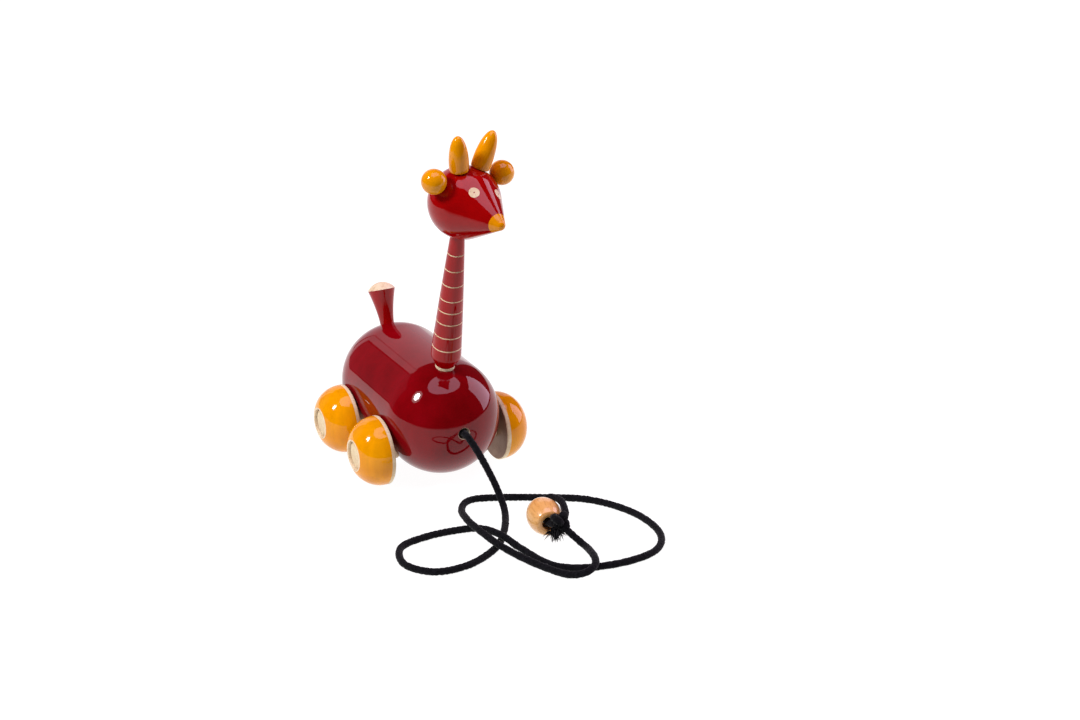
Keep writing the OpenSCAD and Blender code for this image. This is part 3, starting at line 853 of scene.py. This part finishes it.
def wheel_outline():
    """Bands of a wheel's section, from the inner end of its bore round to the outer end; Z runs outwards."""
    dome_rise = WHEEL_R - HUB_RIM_R
    dome_run = WHEEL_W - BAND_W
    dome_r = (dome_run ** 2 + dome_rise ** 2) / (2 * dome_rise)
    sweep = degrees(asin(dome_run / dome_r))
    edge = 0.6 * MM
    soft = 0.2 * MM
    recess_r = HUB_RIM_R - HUB_RIM_W
    floor = WHEEL_W - RECESS_DEEP
    inner = [(BORE_R, 0.3 * MM), (BORE_R + 0.3 * MM, 0), (WHEEL_R * 0.6, 0), (WHEEL_R - edge, 0)]
    band = inner[-1:] + arc((WHEEL_R - edge, edge), edge, -75, 0, 5) + [(WHEEL_R, BAND_W - 0.05 * MM)]
    dome = [(WHEEL_R, BAND_W)] + arc((WHEEL_R - dome_r, BAND_W), dome_r, 0.4, sweep, 56)
    rim = [dome[-1], (HUB_RIM_R - soft, WHEEL_W), (recess_r + soft, WHEEL_W), (recess_r, WHEEL_W - soft)]
    recess = [rim[-1], (recess_r, floor), (BORE_R, floor)]
    bore = [recess[-1], (BORE_R, WHEEL_W / 2)]
    # the flat inner face takes the dark wood that paints the body's shade on it
    return [(INNER_FACE_PAINTED_SHADE, inner), (END_GRAIN, band), (AMBER, band[-1:] + dome), (BARE, rim), (BARE, recess),
            (BARE, bore)]


def cap_outline():
    soft = 0.35 * MM
    face = [(CAP_R - soft - (CAP_R - soft) * k / 10, CAP_W) for k in range(1, 11)]
    return [(END_GRAIN, [(0, 0), (CAP_R, 0)] + arc((CAP_R - soft, CAP_W - soft), soft, 0, 90, 5) + face)]


def on_axle(name):
    """Place of a wheel's or hub cap's inner face, with Z outwards."""
    low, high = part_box(name)
    side = SIDES[name.rsplit("_", 1)[1]]
    inner = low.x if side > 0 else high.x
    at = Vector((inner, (low.y + high.y) / 2, (low.z + high.z) / 2))
    return Matrix.Translation(at) @ Matrix.Rotation(side * pi / 2, 4, "Y")


def make_wheels():
    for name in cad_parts:
        if name.startswith("wheel_"):
            mesh = lathe_mesh(name, wheel_outline(), around=176)
            add_piece("turned_" + name, mesh, name, name, on_axle(name))
        if name.startswith("hub_cap_"):
            mesh = lathe_mesh(name, cap_outline(), around=96)
            add_piece("turned_" + name, mesh, "root", name, on_axle(name))


make_wheels()

# ---------------------------------------------------------------- CAD nodes that stay

for name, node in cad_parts.items():
    kept = COTTON if name in ("cord_anchor", "pull_cord", "bead_loop", "bead_knot") else BARE
    for slot in node.material_slots:
        slot.material = kept

# ---------------------------------------------------------------- studio


def emitter(name, at, towards, width, height, power, shape="RECTANGLE", colour=(1, 1, 1)):
    """Soft light that faces a point and isn't seen itself."""
    data = bpy.data.lights.new(name, "AREA")
    data.shape = shape
    data.size = width
    data.size_y = height
    data.energy = power
    data.color = colour
    made = bpy.data.objects.new(name, data)
    made.location = at
    made.rotation_euler = (Vector(towards) - Vector(at)).to_track_quat("-Z", "Y").to_euler()
    made.visible_camera = False
    bpy.context.collection.objects.link(made)


def make_floor():
    """A glowing white table, so that nothing throws a dark shadow. It fades out just in front of the view,
    where the fronts of things reflect the dark room."""
    reach = 3.0
    left = 1.0  # how far the table goes to the left of the toy, as the camera sees it
    front = 0.60  # and in front of it
    fade_from = 0.31
    mesh = bpy.data.meshes.new("floor")
    mesh.from_pydata([(-reach, -left, 0), (front, -left, 0), (front, reach, 0), (-reach, reach, 0)], [],
                     [(0, 1, 2, 3)])
    floor = bpy.data.objects.new("floor", mesh)
    floor.rotation_euler.z = atan2(VIEW_FROM.y, VIEW_FROM.x)
    bpy.context.collection.objects.link(floor)
    shader = Shader("pale_floor", Roughness=0.8, Emission_Color=(1, 1, 1, 1), Emission_Strength=0.97)
    shader.surface.inputs["Specular IOR Level"].default_value = 0.0
    clouds = shader.noise(shader.spread(EVEN), 3, detail=2)
    colour = shader.ramp(clouds, "Fac", [(0.3, (0.14, 0.14, 0.14)), (0.7, (0.16, 0.16, 0.16))])
    shader.link(colour, "Color", shader.surface, "Base Color")
    squeeze = 1 / (front - fade_from)
    mapping = shader.spread((squeeze, 1, 1))
    mapping.inputs["Location"].default_value = (-fade_from * squeeze, 0, 0)
    gradient = shader.node("ShaderNodeTexGradient")
    shader.link(mapping, "Vector", gradient, "Vector")
    alpha = shader.range(gradient, "Fac", 1.0, 0.0)
    shader.link(alpha, "Result", shader.surface, "Alpha")
    mesh.materials.append(shader.material)


def make_world():
    """White where the camera looks past the floor, and a dim room round the lights."""
    world = bpy.data.worlds.new("studio")
    world.use_nodes = True
    tree = world.node_tree
    tree.nodes.clear()

    def background(strength):
        made = tree.nodes.new("ShaderNodeBackground")
        made.inputs["Color"].default_value = (1, 1, 1, 1)
        made.inputs["Strength"].default_value = strength
        return made

    path = tree.nodes.new("ShaderNodeLightPath")
    room = background(0.03)
    white = background(1.0)
    mix = tree.nodes.new("ShaderNodeMixShader")
    output = tree.nodes.new("ShaderNodeOutputWorld")
    tree.links.new(path.outputs["Is Camera Ray"], mix.inputs["Fac"])
    tree.links.new(room.outputs["Background"], mix.inputs[1])
    tree.links.new(white.outputs["Background"], mix.inputs[2])
    tree.links.new(mix.outputs["Shader"], output.inputs["Surface"])
    bpy.context.scene.world = world


def make_lights():
    """A pale backdrop in two panels, a key light with a soft halo, a dim wall, a side panel and a
    softbox overhead."""
    toy = Vector((0, 0, 0.09))
    lilac = (1.0, 0.78, 1.0)
    rose = (1.0, 0.88, 0.98)
    emitter("backdrop", (0.88, 2.3, 0.75), (0.16, 0, 0.3), 2.18, 1.9, 11, colour=rose)
    emitter("backdrop_edge", (-0.40, 2.35, 0.75), (-0.02, 0, 0.3), 0.33, 1.9, 1.65, colour=rose)
    emitter("left_wall", (-1.55, 2.4, 0.95), (0, 0, 0.3), 1.7, 2.0, 1.4, colour=lilac)
    emitter("key", (-1.50, 0.03, 1.45), toy, 0.36, 0.52, 29, "ELLIPSE")
    emitter("key_halo", (-1.55, 0.03, 1.50), toy, 0.66, 0.86, 5, "ELLIPSE")
    emitter("side", (1.65, -0.1, 0.82), (0, -0.1, 0.77), 1.1, 1.45, 19, colour=lilac)
    emitter("overhead", (0.15, -0.35, 2.05), (0.15, -0.35, 0), 2.2, 1.5, 27, "ELLIPSE", lilac)


def set_look():
    scene = bpy.context.scene
    scene.view_settings.view_transform = "Standard"
    scene.view_settings.look = "None"


make_floor()
make_world()
make_lights()
set_look()
